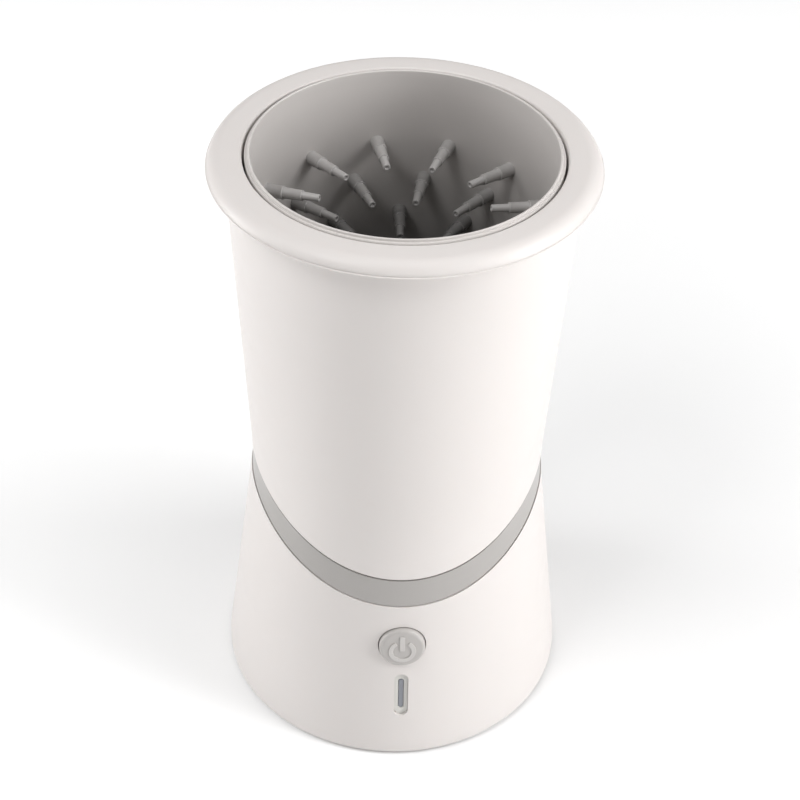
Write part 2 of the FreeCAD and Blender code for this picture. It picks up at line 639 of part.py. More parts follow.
def screws():
    node(compound("chassis_screws", copies(
        "chassis_screw", 4, 45, "boss_circle", lambda name, x, y: screw(
            name, x, y, "chassis_head", "plate_bottom - lug_thick - chassis_head_height",
            "plate_bottom - lug_thick", "pilot_radius - thread_gap", "plate_bottom - lug_thick",
            "pilot_top - 3"))))
    node(compound("gearbox_cover_screws", copies(
        "cover_screw", 4, 0, "ear_circle", lambda name, x, y: screw(
            name, x, y, "ear_head", "ear_top", "ear_top + ear_head_height",
            "ear_pilot - thread_gap", "plate_bottom + 0.3", "ear_top"))))
    node(compound("bottom_cover_screws", copies(
        "bottom_screw", 4, 45, "pillar_circle", lambda name, x, y: screw(
            name, x, y, "cover_screw_head", "base_bottom", "base_bottom + cover_screw_sink",
            "pillar_pilot - thread_gap", "base_bottom + cover_screw_sink", "pillar_top - 5"))))
    node(compound("motor_screws", [screw(
        "motor_screw_%d" % n, "motor_x %s motor_screw_circle" % sign, "motor_y",
        "motor_head", "plate_top", "plate_top + motor_head_height", "motor_hole - 2*thread_gap",
        "plate_bottom - motor_wall", "plate_top")
        for n, sign in ((1, "-"), (2, "+"))]))


def drive_parts():
    node(cylinder("output_shaft", "shaft_radius", "shaft_bottom", "shaft_top"))
    node(tube("lower_bush", "bush_radius", "shaft_radius + running_gap", "shaft_bottom", "plate_top"))
    node(tube("upper_bush", "bush_radius", "shaft_radius + running_gap", "upper_bush_bottom",
              "upper_bush_top"))
    node(cylinder("idler_pin", "pin_radius", "plate_bottom + 1", "cover_roof + 1", y="idler_distance"))
    node(tube("shaft_clip", "clip_radius", "shaft_radius", "clip_bottom", "clip_bottom + clip_height"))
    dog = new_body("dog_solid")
    hexagon(dog, "dog_hexagon", "dog_flats", "dog_bottom", "dog_top")
    node(cut("drive_dog", dog, cylinder("dog_bore", "shaft_radius", "0", "shaft_top")))


def motor():
    at = {"x": "motor_x", "y": "motor_y"}
    can = cylinder("can_solid", "motor_radius", "end_cap_top", "plate_bottom", **at)
    inside = cylinder("can_inside", "motor_radius - motor_wall", "0", "plate_bottom - motor_wall", **at)
    hole = cylinder("can_hole", "motor_shaft_radius + running_gap", "0", "cut_high", **at)
    taps = [cylinder("can_tap_%d" % n, "motor_hole - thread_gap", "cut_low", "cut_high",
                     "motor_x %s motor_screw_circle" % sign, "motor_y")
            for n, sign in ((1, "-"), (2, "+"))]
    node(cut("motor_can", can, inside, hole, *taps))
    cap = cylinder("cap_solid", "motor_radius", "motor_bottom", "end_cap_top", **at)
    node(cut("motor_end_cap", cap, cylinder(
        "cap_bore", "motor_shaft_radius + running_gap", "motor_shaft_bottom - 0.2",
        "cut_high", **at)))
    ring = tube("magnet_ring", "motor_radius - motor_wall", "magnet_inner", "magnet_bottom",
                "magnet_top", **at)
    split = block("magnet_gap", "magnet_split", "3*motor_radius", "0", "cut_high", **at)
    node(cut("motor_magnets", ring, split))
    node(cylinder("motor_shaft", "motor_shaft_radius", "motor_shaft_bottom",
                  "motor_pinion_top + 0.5", **at))
    core = tube("armature_solid", "armature_radius", "motor_shaft_radius", "magnet_bottom + 1",
                "magnet_top - 1", **at)
    slots = [cylinder("armature_slot_%d" % (n + 1), "slot_radius", "0", "cut_high",
                      "motor_x + armature_radius*cos(%d)" % (120 * n),
                      "motor_y + armature_radius*sin(%d)" % (120 * n)) for n in range(3)]
    node(cut("motor_armature", core, *slots))


# ---- front parts -----------------------------------------------------------------------------

def power_button():
    body = new_body("power_button")
    revolve(body, [
        ("0", "-post_depth"),
        ("post_radius", "-post_depth"),
        ("post_radius", "-guide_depth - flange_thick - 0.1"),
        ("flange_radius", "-guide_depth - flange_thick - 0.1"),
        ("flange_radius", "-guide_depth - 0.1"),
        ("button_radius", "-guide_depth - 0.1"),
        ("button_radius", "button_proud - button_round"),
        ("button_radius - button_round", "button_proud", "button_round", "left"),
        ("0", "button_proud"),
    ])
    wide, narrow = "icon_outer", "icon_inner"
    right = ("%s*sin(icon_gap)", "%s*cos(icon_gap) - icon_drop")
    left = ("-%s*sin(icon_gap)", "%s*cos(icon_gap) - icon_drop")
    ring = outline(body, "icon_outline", "XY_Plane", [
        (left[0] % wide, left[1] % wide),
        ("0", "-icon_outer - icon_drop", wide, "left"),
        (right[0] % wide, right[1] % wide, wide, "left"),
        (right[0] % narrow, right[1] % narrow),
        ("0", "-icon_inner - icon_drop", narrow, "right"),
        (left[0] % narrow, left[1] % narrow, narrow, "right"),
    ], offset="button_proud")
    add_loop(ring, [
        ("-icon_bar/2", "-icon_drop"), ("icon_bar/2", "-icon_drop"),
        ("icon_bar/2", "icon_bar_length - icon_drop"), ("-icon_bar/2", "icon_bar_length - icon_drop"),
    ])
    pad = body.newObject("PartDesign::Pad", "icon_pad")
    pad.Profile = ring
    pad.setExpression("Length", bound("icon_raise"))
    node(front(body))


def button_switch():
    node(front(compound("switch_plunger", [
        cylinder("plunger_round", "post_radius", "-plunger_end", "-post_depth")])))


def switch_and_board():
    housing = block("switch_block", "switch_width", "switch_width", "-board_depth", "-switch_depth")
    node(front(cut("tact_switch_body", housing, cylinder(
        "switch_well", "post_radius + plunger_gap", "-plunger_end - button_travel - plunger_gap", "0"))))
    board = block("board_plate", "board_width", "board_top + board_bottom",
                  "-board_depth - board_thick", "-board_depth", y="(board_top - board_bottom)/2")
    holes = [cylinder("board_hole_%d" % n, "board_hole", "-2*board_depth", "0", x, y)
             for n, (x, y) in enumerate(board_places(), 1)]
    node(front(cut("main_board", board, *holes)))
    node(front(compound("board_screws", [screw(
        "board_screw_%d" % n, x, y, "board_head",
        "-board_depth - board_thick - board_head_height", "-board_depth - board_thick",
        "board_pilot - thread_gap", "-board_depth - board_thick", "-board_depth + 5")
        for n, (x, y) in enumerate(board_places(), 1)])))
    node(front(compound("status_led", [block(
        "led_block", "led_width", "led_depth", "-board_depth", "led_depth - board_depth",
        y="led_rise - window_drop")])))


def indicator():
    face = pill("panel_face", "window_width - 2*window_gap", "window_height - 2*window_gap",
                "-shell_wall - 0.6", "-window_recess", y="-window_drop")
    flange = pill("panel_flange", "window_width + 2*window_flange", "window_height + 2*window_flange",
                  "-shell_wall - 1.7", "-shell_wall - 0.2", y="-window_drop")
    hole = pill("panel_hole", "strip_width", "strip_height", "-window_cut", "cut_over",
                y="-window_drop")
    node(front(cut("indicator_panel", fuse("panel_solid", face, flange), hole)))
    node(front(pill("light_strip", "strip_width - 2*window_gap", "strip_height - 2*window_gap",
                    "-board_depth + 1", "-window_recess", y="-window_drop")))


# ---- charging inlet --------------------------------------------------------------------------

def inlet_prism(name, grow, back, front_end):
    """A level prism along Y with round ends, larger all round than the inlet by grow."""
    width = "(inlet_width + 2*(%s))" % grow
    height = "(inlet_height + 2*(%s))" % grow
    shift = "(%s - %s)/2" % (width, height)
    parts = []
    for number, sign in ((1, "-"), (2, "")):
        end = doc.addObject("Part::Cylinder", "%s_round_%d" % (name, number))
        bind(end, Radius=height + "/2", Height="(%s) - (%s)" % (front_end, back))
        turn(end, FreeCAD.Vector(1, 0, 0), "90")
        parts.append(place(end, sign + shift, front_end, "port_height"))
    parts.append(block(name + "_flat", "2*" + shift, "(%s) - (%s)" % (front_end, back),
                       "port_height - %s/2" % height, "port_height + %s/2" % height,
                       y="((%s) + (%s))/2" % (front_end, back)))
    return fuse(name, *parts)


def charging_inlet():
    back = "inlet_front - inlet_length"
    outside = inlet_prism("inlet_outside", "0", back, "inlet_front")
    inside = inlet_prism("inlet_inside", "-inlet_wall", back + " + 0.6", "inlet_front + 1")
    node(cut("usb_socket_shell", outside, inside))
    node(block("usb_socket_tongue", "tongue_width", "tongue_length", "port_height - tongue_thick/2",
               "port_height + tongue_thick/2", y=back + " + 0.6 + tongue_length/2"))
    under = "port_height - inlet_height/2"
    node(block("charge_board", "charge_width", "charge_length", under + " - charge_thick", under,
               y="charge_back - charge_length/2"))


def port_cover():
    flap = port_block("flap_block", "-flap_gap")
    node(common("port_cover", skin("flap_skin", "0", "flap_thick"), flap))


# ---- bottom and battery ----------------------------------------------------------------------

def bottom_cover():
    disc = cylinder("bottom_disc", "bottom_radius", "base_bottom", "bottom_top")
    stand_tops = "port_height - inlet_height/2 - charge_thick"
    places = [(x, y) for x in ("-stand_x", "stand_x") for y in ("stand_front", "stand_rear")]
    stands = [cylinder("board_stand_%d" % n, "stand_radius", "bottom_top - 1", stand_tops,
                       x, "charge_back - " + y)
              for n, (x, y) in enumerate(places, 1)]
    heads = copies("bottom_sink", 4, 45, "pillar_circle", lambda name, x, y: cylinder(
        name, "cover_screw_head + 0.2", "0", "base_bottom + cover_screw_sink", x, y))
    holes = copies("bottom_hole", 4, 45, "pillar_circle", lambda name, x, y: cylinder(
        name, "cover_hole", "0", "bottom_top + 1", x, y))
    pockets = copies("foot_pocket", 4, 0, "foot_circle", lambda name, x, y: cylinder(
        name, "foot_radius + 0.1", "0", "foot_height", x, y))
    node(cut("bottom_cover", fuse("bottom_solid", disc, *stands), *heads, *holes, *pockets))
    node(compound("rubber_feet", copies("foot", 4, 0, "foot_circle", lambda name, x, y: cylinder(
        name, "foot_radius", "0", "foot_height", x, y))))
    node(tube("bottom_gasket", "gasket_outer", "gasket_inner", "bottom_top", "gasket_top"))


def battery():
    def along(name, radius, length):
        item = doc.addObject("Part::Cylinder", name)
        bind(item, Radius=radius, Height=length)
        turn(item, FreeCAD.Vector(0, 1, 0), "90")
        return place(item, "-(%s)/2" % length, "cell_y", "cell_z")
    node(along("battery_cell", "cell_radius", "cell_length"))
    bed = block("holder_bed", "holder_length", "holder_width", "bottom_top", "holder_top", y="cell_y")
    room = "cell_length + 2*tab_thick"
    hollow = along("holder_hollow", "cell_radius + holder_gap", room)
    above = block("holder_above", room, "2*(cell_radius + holder_gap)", "cell_z", "40", y="cell_y")
    node(cut("battery_holder", bed, hollow, above))
    tabs = [block("tab_%d" % n, "tab_thick", "tab_width", "cell_z - tab_drop", "tab_top",
                  x="%s(cell_length + tab_thick)/2" % sign, y="cell_y")
            for n, sign in ((1, "-"), (2, ""))]
    node(compound("battery_tabs", tabs))


def wires(name, routes):
    """Insulated wires, each a run of straight lengths with round elbows."""
    radius = value("wire_radius")
    strands = []
    for route in routes:
        points = [FreeCAD.Vector(*(value(number) for number in point)) for point in route]
        pieces = [Part.makeCylinder(radius, (end - start).Length, start, end - start)
                  for start, end in zip(points, points[1:])]
        pieces += [Part.makeSphere(radius, point) for point in points[1:-1]]
        strands.append(pieces[0].fuse(pieces[1:]).removeSplitter())
    item = doc.addObject("Part::Feature", name)
    item.Shape = Part.makeCompound(strands)
    node(item)


def leads():
    board_back = "-(%s) + (board_depth + board_thick)/cos(lower_lean)" % skin_radius("%s")
    low = "motor_bottom - motor_lead_drop"
    wires("motor_leads", [[
        ("motor_x + " + shift, "motor_y - motor_lead_back", "motor_bottom"),
        ("motor_x + " + shift, "motor_y - motor_lead_back", low),
        ("motor_x + " + shift, board_back % low + " + wire_bite", low)]
        for shift in ("motor_lead_first", "motor_lead_second")])
    level = "tab_top + wire_radius"
    wires("battery_leads", [[
        ("%s(cell_length + tab_thick)/2" % sign, "cell_y", level),
        ("%s(cell_length + tab_thick)/2" % sign, "-lead_bend", level),
        ("%s(board_width/2 - lead_inset)" % sign, "-lead_end", level),
        ("%s(board_width/2 - lead_inset)" % sign, board_back % level + " + wire_bite", level)]
        for sign in ("-", "")])


# ---- build -----------------------------------------------------------------------------------

def build():
    water_well()
    upper_shell()
    trim_band()
    base_shell()
    seals()
    brush_drum()
    drive_socket()
    finger = bristle_finger()
    gearbox_plate()
    gearbox_cover()
    drive_parts()
    gear_train()
    motor()
    screws()
    power_button()
    button_switch()
    switch_and_board()
    indicator()
    charging_inlet()
    port_cover()
    bottom_cover()
    battery()
    leads()
    doc.recompute()
    bristle_rows(finger)
    doc.recompute()


def check_and_export():
    faults = [item.Name for item in doc.Objects
              if "Invalid" in item.State or "Error" in item.State]
    for item in NODES:
        if item.Shape.isNull() or not item.Shape.isValid() or not item.Shape.Solids:
            faults.append(item.Label)
    if faults:
        sys.exit("failed objects: " + ", ".join(faults))
    os.makedirs("parts", exist_ok=True)
    for item in NODES:
        item.Shape.exportStep("parts/%s.step" % item.Label)
    print(len(NODES), "sub-parts written")


build()
check_and_export()
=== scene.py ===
import json
import math

import bpy
from mathutils import Matrix, Vector


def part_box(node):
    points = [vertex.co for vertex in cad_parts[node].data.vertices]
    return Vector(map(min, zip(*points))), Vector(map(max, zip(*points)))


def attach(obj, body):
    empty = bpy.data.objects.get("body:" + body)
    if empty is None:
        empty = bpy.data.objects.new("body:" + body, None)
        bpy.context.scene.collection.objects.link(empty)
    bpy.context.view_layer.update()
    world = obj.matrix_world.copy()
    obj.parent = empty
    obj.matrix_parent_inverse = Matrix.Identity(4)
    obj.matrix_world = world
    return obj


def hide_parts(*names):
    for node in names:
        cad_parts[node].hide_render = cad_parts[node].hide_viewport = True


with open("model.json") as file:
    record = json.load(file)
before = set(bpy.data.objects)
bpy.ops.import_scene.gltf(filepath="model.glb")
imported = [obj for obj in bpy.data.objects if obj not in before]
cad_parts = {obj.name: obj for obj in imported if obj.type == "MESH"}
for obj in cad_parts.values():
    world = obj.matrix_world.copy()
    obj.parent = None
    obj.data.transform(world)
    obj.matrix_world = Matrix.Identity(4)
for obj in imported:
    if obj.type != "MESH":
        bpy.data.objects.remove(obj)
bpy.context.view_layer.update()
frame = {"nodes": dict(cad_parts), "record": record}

# ---- sizes: millimetres, the driving sizes of the CAD skin; places come from the frame ----------

MM = 0.001
LOW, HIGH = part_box("base_shell")[0].z / MM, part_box("brush_drum")[1].z / MM

# the skin: two cones and the blend between them
BASE_RADIUS, BASE_EDGE = 56.2, 4.0
LOWER_LEAN, UPPER_LEAN = math.radians(7.13), math.radians(2.86)
WAIST_RADIUS, WAIST_HEIGHT, WAIST_BLEND = 45.9, 86.3, 114.0
SHELL_TOP, SHELL_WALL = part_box("upper_shell")[1].z / MM, 2.2

# the wave between the shells, and the band under it
WAVE_LOW, WAVE_RADIUS, WAVE_GAP, SHADOW_GAP = 72.2, 67.5, 0.2, 0.1
BAND_HEIGHT, BAND_RECESS = 10.3, 0.25
TONGUE_DEPTH, TONGUE_BACK, TONGUE_LOW, TONGUE_HIGH = 2.3, 3.5, 4.5, 8.0

# the front: the button, and the window with its strip, which hangs WINDOW_DROP below the button
BUTTON_HEIGHT, BUTTON_RADIUS, BUTTON_GAP, BUTTON_PROUD = 46.6, 7.25, 0.3, 1.6
WINDOW_DROP, WINDOW_WIDTH, WINDOW_LENGTH, WINDOW_RECESS = 20.66, 4.4, 17.4, 0.9
STRIP_WIDTH, STRIP_LENGTH, STRIP_BACK = 1.7, 12.0, -13.0

# the inside: painted shade makes its colour fall from the rim down to DEEP_HEIGHT
DEEP_HEIGHT, RIM_HEIGHT = 140.0, 192.0
DRUM_INSIDE, DRUM_INSIDE_HEIGHT, DRUM_LEAN = 43.8, 195.6, 4.7 / 105.6

# the fingers: each row is ROW_PITCH lower than the last and ROW_TURN degrees further round
ROWS, ROW_TOP, ROW_PITCH, ROW_START, ROW_TURN = 6, 173.0, 12.3, 68, 10
FINGERS, FINGER_LIE = 12, 86

# the back: the charging port's recess, the flap in it and the plug's opening
PORT_HEIGHT, RECESS_WIDTH, RECESS_HEIGHT, RECESS_DEPTH = 20.0, 16.0, 10.0, 1.7
FLAP_GAP, FLAP_THICKNESS, FLAP_CORNER = 0.3, 1.3, 1.3
PLUG_WIDTH, PLUG_HEIGHT, PORT_FLOOR_BACK = 9.2, 3.5, 3.7

# radii of the circles that the bosses, the feet and the screws stand on
BOSS_CIRCLE, FOOT_CIRCLE, SCREW_CIRCLE = 38.0, 44.0, 49.2

# fineness: columns round the skin, points round a small loop
COLUMNS = 480
LOOP = 64


# ---- mesh helpers ------------------------------------------------------------------------------

def build_mesh(name, points, faces, material, bevel=0.0, angle=35.0, segments=2):
    """A smooth-shaded object from points in millimetres, with its sharp edges rounded."""
    mesh = bpy.data.meshes.new(name)
    mesh.from_pydata([tuple(number * MM for number in point) for point in points], [], faces)
    mesh.validate()
    mesh.update()
    piece = bpy.data.objects.new(name, mesh)
    bpy.context.scene.collection.objects.link(piece)
    mesh.materials.append(material)
    if bevel:
        rounding = piece.modifiers.new("rounded edges", "BEVEL")
        rounding.width = bevel * MM
        rounding.segments = segments
        rounding.limit_method = "ANGLE"
        rounding.angle_limit = math.radians(angle)
        rounding.harden_normals = True
    mesh.polygons.foreach_set("use_smooth", [True] * len(mesh.polygons))
    mesh.set_sharp_from_angle(angle=math.radians(angle))
    return piece


def fillet(points, closed=True, steps=6):
    """A profile of (radius, height, round) corners, with each round corner made of short chords."""
    result = []
    count = len(points)
    for index, point in enumerate(points):
        corner = Vector(point[:2])
        round_by = point[2] if len(point) > 2 else 0
        ends = closed or 0 < index < count - 1
        if not round_by or not ends:
            result.append(tuple(corner))
            continue
        before = (Vector(points[index - 1][:2]) - corner).normalized()
        after = (Vector(points[(index + 1) % count][:2]) - corner).normalized()
        half = before.angle(after) / 2
        reach = round_by / math.tan(half)
        centre = corner + (before + after).normalized() * round_by / math.sin(half)
        start, end = corner + before * reach - centre, corner + after * reach - centre
        turn = start.angle_signed(end)
        for step in range(steps + 1):
            spoke = start.copy()
            spoke.rotate(Matrix.Rotation(-turn * step / steps, 2))
            result.append(tuple(centre + spoke))
    return result


def same(point):
    """The place function that moves nothing."""
    return point


def lathe(profile, segments, place=same, closed=True):
    """Points and faces of a profile turned about Z. A point on the axis becomes one pole."""
    points, rings = [], []
    for radius, height in profile:
        if radius < 1e-6:
            rings.append([len(points)] * segments)
            points.append(place((0.0, 0.0, height)))
            continue
        rings.append(list(range(len(points), len(points) + segments)))
        for step in range(segments):
            angle = 2 * math.pi * step / segments
            points.append(place((radius * math.cos(angle), radius * math.sin(angle), height)))
    faces = []
    pairs = list(zip(rings, rings[1:] + rings[:1])) if closed else list(zip(rings, rings[1:]))
    for low, high in pairs:
        for step in range(segments):
            following = (step + 1) % segments
            face = [low[step], low[following], high[following], high[step]]
            face = [corner for n, corner in enumerate(face) if corner != face[n - 1]]
            if len(face) > 2:
                faces.append(face)
    return points, faces


def merged(*shapes):
    """Several (points, faces) as one."""
    points, faces = [], []
    for more_points, more_faces in shapes:
        shift = len(points)
        points += more_points
        faces += [[corner + shift for corner in face] for face in more_faces]
    return points, faces


def lofted(loops, place=same):
    """A closed solid through loops of equal length, with its first and last loop capped."""
    points, faces = [], []
    count = len(loops[0])
    for loop in loops:
        points += [place(point) for point in loop]
    for level in range(len(loops) - 1):
        for step in range(count):
            following = (step + 1) % count
            a, b = level * count, (level + 1) * count
            faces.append([a + step, a + following, b + following, b + step])
    faces.append(list(range(count))[::-1])
    faces.append([len(points) - count + step for step in range(count)])
    return points, faces


def pill_loop(width, length, height, centre_y=0.0):
    """A slot-shaped loop, long in Y, at one height."""
    radius, half = width / 2, (length - width) / 2
    loop = []
    for step in range(LOOP):
        angle = 2 * math.pi * (step + 0.5) / LOOP
        shift = half if math.sin(angle) > 0 else -half
        loop.append((radius * math.cos(angle), centre_y + shift + radius * math.sin(angle), height))
    return loop


def rounded_box_loop(width, length, corner):
    """(x, y) points of a rectangle with round corners, spread by angle round each corner."""
    loop = []
    for step in range(LOOP):
        angle = 2 * math.pi * (step + 0.5) / LOOP
        x_side, y_side = math.copysign(1, math.cos(angle)), math.copysign(1, math.sin(angle))
        loop.append((x_side * (width / 2 - corner) + corner * math.cos(angle),
                     y_side * (length / 2 - corner) + corner * math.sin(angle)))
    return loop


def shifted(centre):
    """A place function that moves a point in X and Y."""
    return lambda point: (point[0] + centre[0], point[1] + centre[1], point[2])


def on_circle(radius, degrees):
    turn = math.radians(degrees)
    return radius * math.cos(turn), radius * math.sin(turn)


# ---- the skin as a surface of turn angle and height --------------------------------------------

def skin_radius(height, depth=0.0):
    """Radius of the skin: two cones with a soft blend between them at the waist."""
    reach = WAIST_BLEND * math.tan((LOWER_LEAN + UPPER_LEAN) / 2)
    low = WAIST_HEIGHT - reach * math.cos(LOWER_LEAN)
    high = WAIST_HEIGHT + reach * math.cos(UPPER_LEAN)
    if height <= BASE_EDGE:
        radius = BASE_RADIUS
    elif height <= low:
        radius = WAIST_RADIUS + (WAIST_HEIGHT - height) * math.tan(LOWER_LEAN)
    elif height >= high:
        radius = WAIST_RADIUS + (height - WAIST_HEIGHT) * math.tan(UPPER_LEAN)
    else:
        low_radius = WAIST_RADIUS + reach * math.sin(LOWER_LEAN)
        centre_radius = low_radius + WAIST_BLEND * math.cos(LOWER_LEAN)
        centre_height = low + WAIST_BLEND * math.sin(LOWER_LEAN)
        radius = centre_radius - math.sqrt(WAIST_BLEND ** 2 - (height - centre_height) ** 2)
    return radius - depth


def skin_point(angle, height, depth=0.0):
    """Angle 0 is the front, and it grows towards +X."""
    radius = skin_radius(height, depth)
    return (radius * math.sin(angle), -radius * math.cos(angle), height)


def wave_height(angle, offset, depth):
    """Height of the wave at a turn angle: an arc seen from the front, met by the skin in steps."""
    height = WAIST_HEIGHT
    for _ in range(12):
        across = skin_radius(height, depth) * math.sin(angle)
        height = WAVE_LOW + offset + WAVE_RADIUS - math.sqrt(WAVE_RADIUS ** 2 - across ** 2)
    return height


def front_matrix():
    """The leaning frame on the skin at the button's centre: Z outward, Y up the skin."""
    outward = Vector((0, -math.cos(LOWER_LEAN), math.sin(LOWER_LEAN)))
    upward = Vector((0, math.sin(LOWER_LEAN), math.cos(LOWER_LEAN)))
    turn = Matrix((Vector((1, 0, 0)), upward, outward)).transposed().to_4x4()
    return Matrix.Translation((0, -skin_radius(BUTTON_HEIGHT), BUTTON_HEIGHT)) @ turn


FRONT = front_matrix()


def at_front(point):
    """A point of the leaning front frame, in the cup's own frame."""
    return tuple(FRONT @ Vector(point))


def front_to_skin(across, along, depth):
    """(angle, height) on the skin under a point of the leaning front frame."""
    height = BUTTON_HEIGHT + along * math.cos(LOWER_LEAN)
    for _ in range(8):
        angle = math.asin(across / skin_radius(height, depth))
        local = FRONT.inverted() @ Vector(skin_point(angle, height, depth))
        height += (along - local.y) * math.cos(LOWER_LEAN)
    return angle, height


def back_to_skin(across, height, depth):
    """(angle, height) on the skin for a point of the back, seen from behind."""
    return math.pi - math.asin(across / skin_radius(height, depth)), height


class Sheet:
    """A patch of skin: each point holds (angle, height) for its outer and its inner layer."""

    RINGS = (0.3, 0.55, 0.75, 0.9, 1.0)

    def __init__(self):
        self.points, self.faces = [], []

    def add(self, outer, inner):
        self.points.append((outer, inner))
        return len(self.points) - 1

    def grid(self, rows, holes=()):
        """rows(column angle, depth) gives the heights; holes are (first, last column, row) spans."""
        count = len(rows(0.0, 0.0))
        index = []
        for column in range(COLUMNS):
            angle = 2 * math.pi * column / COLUMNS
            heights = zip(rows(angle, 0.0), rows(angle, SHELL_WALL))
            index.append([self.add((angle, a), (angle, b)) for a, b in heights])
        for column in range(COLUMNS):
            following = (column + 1) % COLUMNS
            for row in range(count - 1):
                if not any(hole.covers(column, row) for hole in holes):
                    self.faces.append([index[column][row], index[following][row],
                                       index[following][row + 1], index[column][row + 1]])
        for hole in holes:
            self.fill(index, hole)

    def fill(self, index, hole):
        """Rings of quads from a square of grid lines in to the hole's edge."""
        previous = [index[column % COLUMNS][row] for column, row in hole.border()]
        edges = hole.edge()
        start = [self.points[number] for number in previous]
        for blend in self.RINGS:
            ring = []
            for (outer, inner), (edge_outer, edge_inner) in zip(start, edges):
                ring.append(self.add(mix(outer, edge_outer, blend), mix(inner, edge_inner, blend)))
            for step in range(len(ring)):
                following = (step + 1) % len(ring)
                self.faces.append([previous[step], previous[following], ring[following], ring[step]])
            previous = ring

    def thick(self, outer_depth, inner_depth):
        """Points and faces of the closed wall between two depths."""
        count = len(self.points)
        points = [skin_point(*outer, outer_depth) for outer, inner in self.points]
        points += [skin_point(*inner, inner_depth) for outer, inner in self.points]
        faces = [list(face) for face in self.faces]
        faces += [[corner + count for corner in reversed(face)] for face in self.faces]
        used = {}
        for face in self.faces:
            for a, b in zip(face, face[1:] + face[:1]):
                used[(a, b)] = True
        for a, b in used:
            if (b, a) not in used:
                faces.append([b, a, a + count, b + count])
        return points, faces


def mix(first, second, blend):
    """Between two (angle, height) points, the short way round."""
    turn = (second[0] - first[0] + math.pi) % (2 * math.pi) - math.pi
    return (first[0] + turn * blend, first[1] + (second[1] - first[1]) * blend)


class Hole:
    """A hole in the grid between two columns and two rows, with its edge given as a loop."""

    def __init__(self, columns, rows, loop, to_skin):
        self.columns, self.rows, self.loop, self.to_skin = columns, rows, loop, to_skin

    def covers(self, column, row):
        inside = (column - self.columns[0]) % COLUMNS < self.columns[1] - self.columns[0]
        return inside and self.rows[0] <= row < self.rows[1]

    def border(self):
        (left, right), (low, high) = self.columns, self.rows
        return ([(column, low) for column in range(left, right)]
                + [(right, row) for row in range(low, high)]
                + [(column, high) for column in range(right, left, -1)]
                + [(left, row) for row in range(high, low, -1)])

    def edge(self):
        """The hole's edge, its points matched to the border in order."""
        return [(self.to_skin(x, y, 0.0), self.to_skin(x, y, SHELL_WALL))
                for x, y in self.loop(border_angles(self.border()))]


# ---- materials ---------------------------------------------------------------------------------

def moulded(name, colour, roughness, grain=900.0, bump=0.04, coat=0.0, soft=0.0, metal=0.0,
            vary=0.03, stretch=(1, 1, 1), painted_shade_share=1.0):
    """A moulded, cast or drawn surface: fine grain, uneven gloss and a faint drift of colour.

    Down inside the cup a painted shade makes the colour fall, darker towards the bottom, to the share
    given for the cup's depth.
    """
    material = bpy.data.materials.new(name)
    material.use_nodes = True
    tree = material.node_tree
    shader = tree.nodes["Principled BSDF"]
    shader.inputs["Metallic"].default_value = metal
    shader.inputs["Coat Weight"].default_value = coat
    shader.inputs["Coat Roughness"].default_value = 0.12
    shader.inputs["Subsurface Weight"].default_value = soft
    shader.inputs["Subsurface Radius"].default_value = (0.004, 0.003, 0.0025)
    place = tree.nodes.new("ShaderNodeTexCoord")
    scale = tree.nodes.new("ShaderNodeMapping")
    scale.inputs["Scale"].default_value = stretch
    tree.links.new(place.outputs["Object"], scale.inputs["Vector"])

    def noise(size, detail):
        node = tree.nodes.new("ShaderNodeTexNoise")
        node.inputs["Scale"].default_value = size
        node.inputs["Detail"].default_value = detail
        tree.links.new(scale.outputs["Vector"], node.inputs["Vector"])
        return node.outputs["Fac"]

    def ramp(source, low, high):
        node = tree.nodes.new("ShaderNodeMapRange")
        node.inputs["From Min"].default_value = 0.3
        node.inputs["From Max"].default_value = 0.7
        node.inputs["To Min"].default_value = low
        node.inputs["To Max"].default_value = high
        tree.links.new(source, node.inputs["Value"])
        return node.outputs["Result"]

    drift = tree.nodes.new("ShaderNodeMix")
    drift.data_type = "RGBA"
    drift.inputs["A"].default_value = (*[c * (1 - vary) for c in colour], 1)
    drift.inputs["B"].default_value = (*[min(1, c * (1 + vary)) for c in colour], 1)
    tree.links.new(noise(35.0, 3.0), drift.inputs["Factor"])
    tree.links.new(drift.outputs["Result"], shader.inputs["Base Color"])
    # painted shade: the colour is scaled down from RIM_HEIGHT to DEEP_HEIGHT, darker towards the bottom of
    # the cup
    if painted_shade_share < 1:
        height = tree.nodes.new("ShaderNodeSeparateXYZ")
        tree.links.new(place.outputs["Object"], height.inputs["Vector"])
        share = tree.nodes.new("ShaderNodeMapRange")
        share.inputs["From Min"].default_value = DEEP_HEIGHT * MM
        share.inputs["From Max"].default_value = RIM_HEIGHT * MM
        share.inputs["To Min"].default_value = painted_shade_share
        share.inputs["To Max"].default_value = 1.0
        tree.links.new(height.outputs["Z"], share.inputs["Value"])
        painted_shade = tree.nodes.new("ShaderNodeVectorMath")
        painted_shade.operation = "SCALE"
        tree.links.new(drift.outputs["Result"], painted_shade.inputs[0])
        tree.links.new(share.outputs["Result"], painted_shade.inputs["Scale"])
        tree.links.new(painted_shade.outputs["Vector"], shader.inputs["Base Color"])
    tree.links.new(ramp(noise(160.0, 4.0), roughness * 0.88, roughness * 1.12),
                   shader.inputs["Roughness"])
    relief = tree.nodes.new("ShaderNodeBump")
    relief.inputs["Strength"].default_value = bump
    relief.inputs["Distance"].default_value = 0.0002
    tree.links.new(noise(grain, 2.0), relief.inputs["Height"])
    tree.links.new(relief.outputs["Normal"], shader.inputs["Normal"])
    return material


